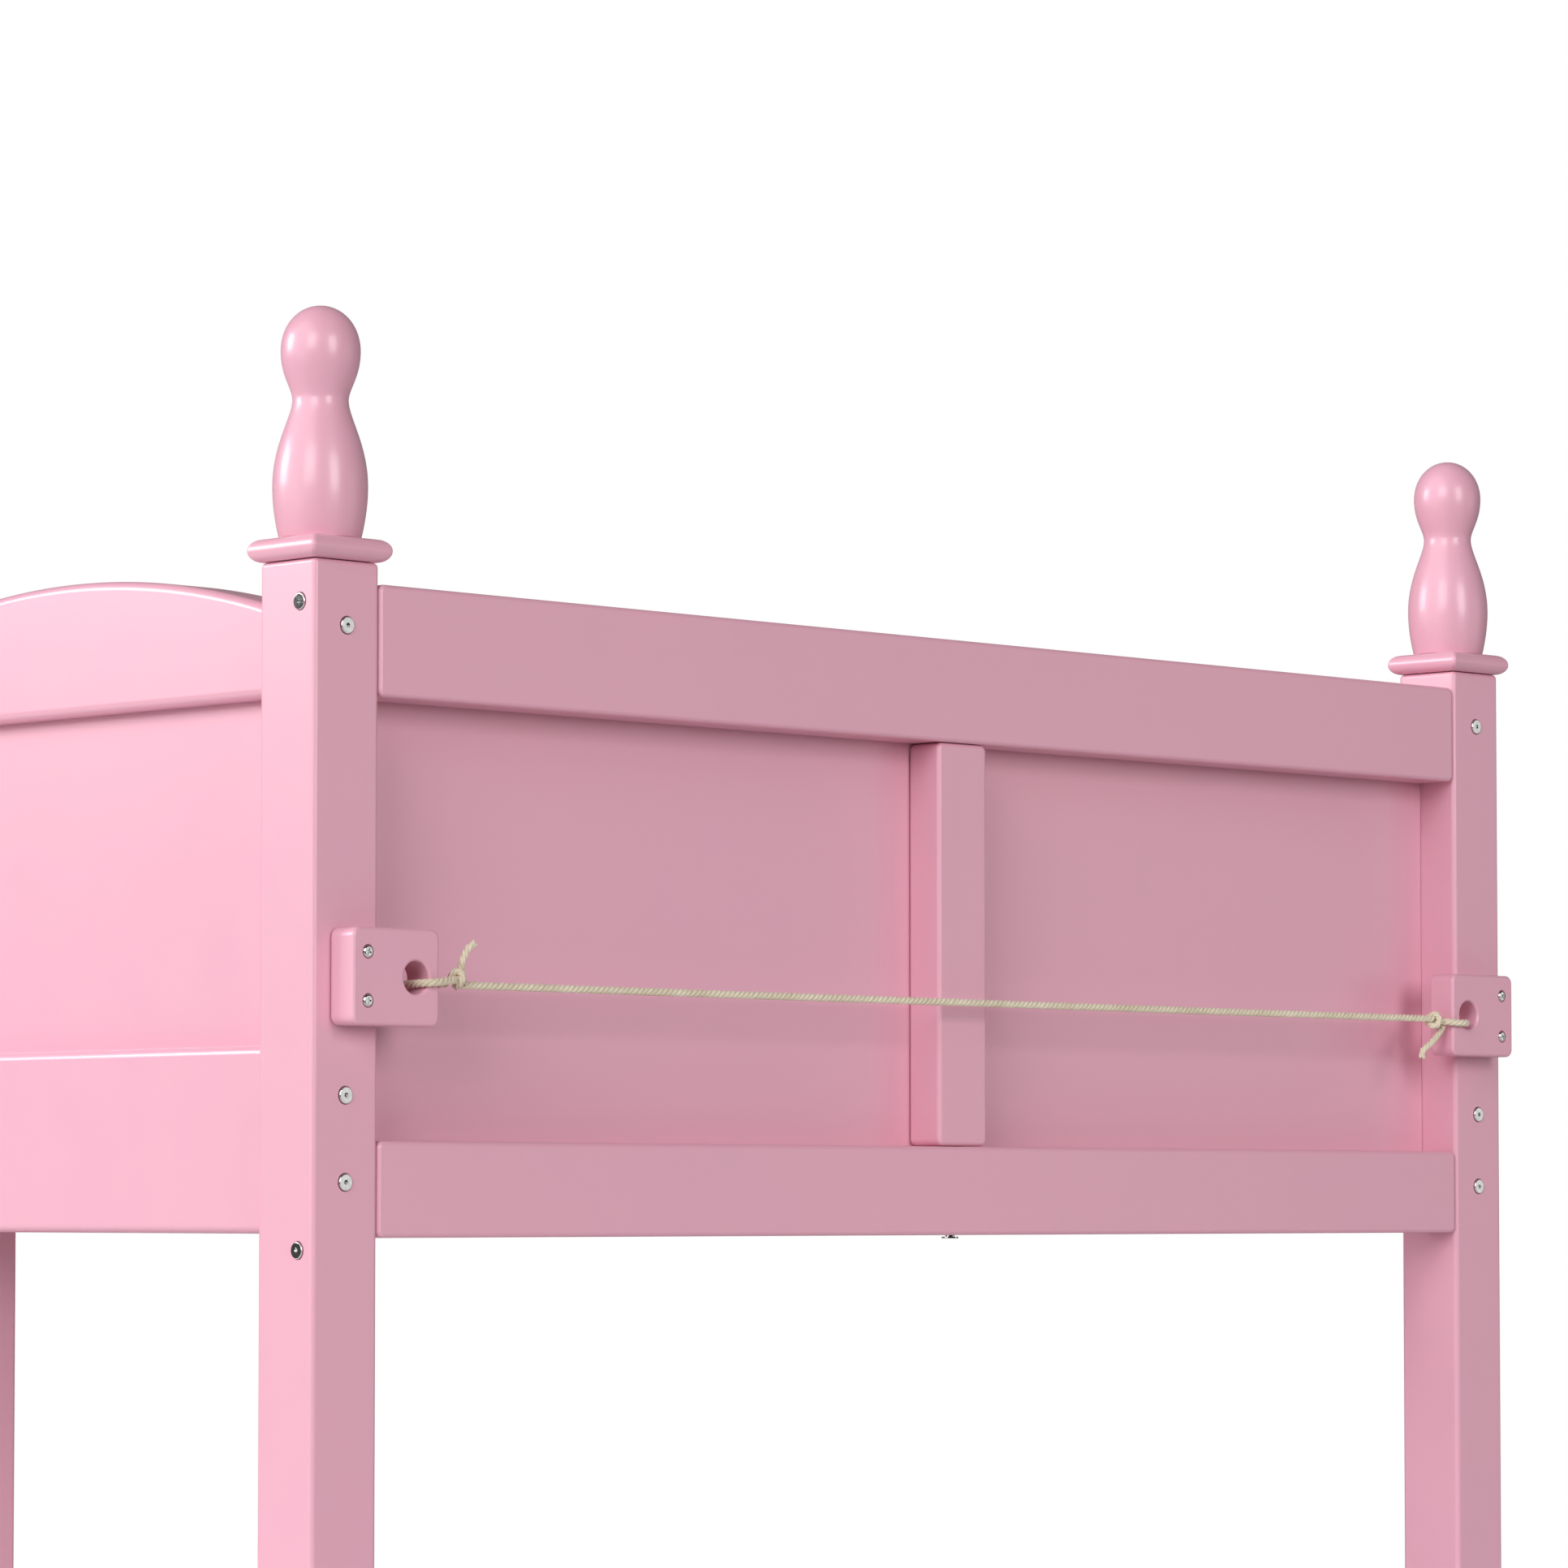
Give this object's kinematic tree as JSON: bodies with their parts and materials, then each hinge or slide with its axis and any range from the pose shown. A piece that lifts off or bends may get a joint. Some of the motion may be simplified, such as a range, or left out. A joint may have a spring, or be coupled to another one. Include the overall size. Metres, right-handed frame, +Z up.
{
  "type": "low loft bed",
  "caption": "Low loft bed with turned-finial posts, panelled ends, arched guards, a short ladder, a slatted deck and a rope tied between two blocks across one end.",
  "frame": {"origin": "on the floor under the middle of the bed, measured over the posts' caps and the rope blocks", "axes": "+Z up, +Y along the bed away from the end that carries the rope, +X across the bed towards its closed side"},
  "size_m": [1.112, 2.0635, 1.1872],
  "materials": {
    "pink_lacquer": "satin pink lacquer on smooth solid wood",
    "rope": "twisted three-strand cotton, undyed"
  },
  "bodies": {
    "root": {"post_near_left": "pink_lacquer", "post_cap_near_left": "pink_lacquer", "finial_near_left": "pink_lacquer", "post_near_right": "pink_lacquer", "post_cap_near_right": "pink_lacquer", "finial_near_right": "pink_lacquer", "post_far_left": "pink_lacquer", "post_cap_far_left": "pink_lacquer", "finial_far_left": "pink_lacquer", "post_far_right": "pink_lacquer", "post_cap_far_right": "pink_lacquer", "finial_far_right": "pink_lacquer", "near_end_low_rail": "pink_lacquer", "near_end_top_rail": "pink_lacquer", "near_end_muntin": "pink_lacquer", "near_end_panel": "pink_lacquer", "far_end_low_rail": "pink_lacquer", "far_end_top_rail": "pink_lacquer", "far_end_muntin": "pink_lacquer", "far_end_panel": "pink_lacquer", "side_rail_left": "pink_lacquer", "short_guard_rail": "pink_lacquer", "short_guard_panel": "pink_lacquer", "short_guard_stile": "pink_lacquer", "long_guard_rail": "pink_lacquer", "long_guard_panel": "pink_lacquer", "long_guard_stile": "pink_lacquer", "side_rail_right": "pink_lacquer", "full_guard_rail": "pink_lacquer", "full_guard_panel": "pink_lacquer", "ladder_leg_near": "pink_lacquer", "ladder_leg_far": "pink_lacquer", "ladder_rung_1": "pink_lacquer", "ladder_rung_2": "pink_lacquer", "slat_cleat_left": "pink_lacquer", "slat_cleat_right": "pink_lacquer", "slat_01": "pink_lacquer", "slat_02": "pink_lacquer", "slat_03": "pink_lacquer", "slat_04": "pink_lacquer", "slat_05": "pink_lacquer", "slat_06": "pink_lacquer", "slat_07": "pink_lacquer", "slat_08": "pink_lacquer", "slat_09": "pink_lacquer", "slat_10": "pink_lacquer", "slat_11": "pink_lacquer", "slat_12": "pink_lacquer", "rope_block_left": "pink_lacquer", "rope_block_right": "pink_lacquer", "rope_span": "rope", "rope_loop_left": "rope", "rope_loop_right": "rope", "rope_knot_left": "rope", "rope_knot_right": "rope"}
  },
  "joints": []
}
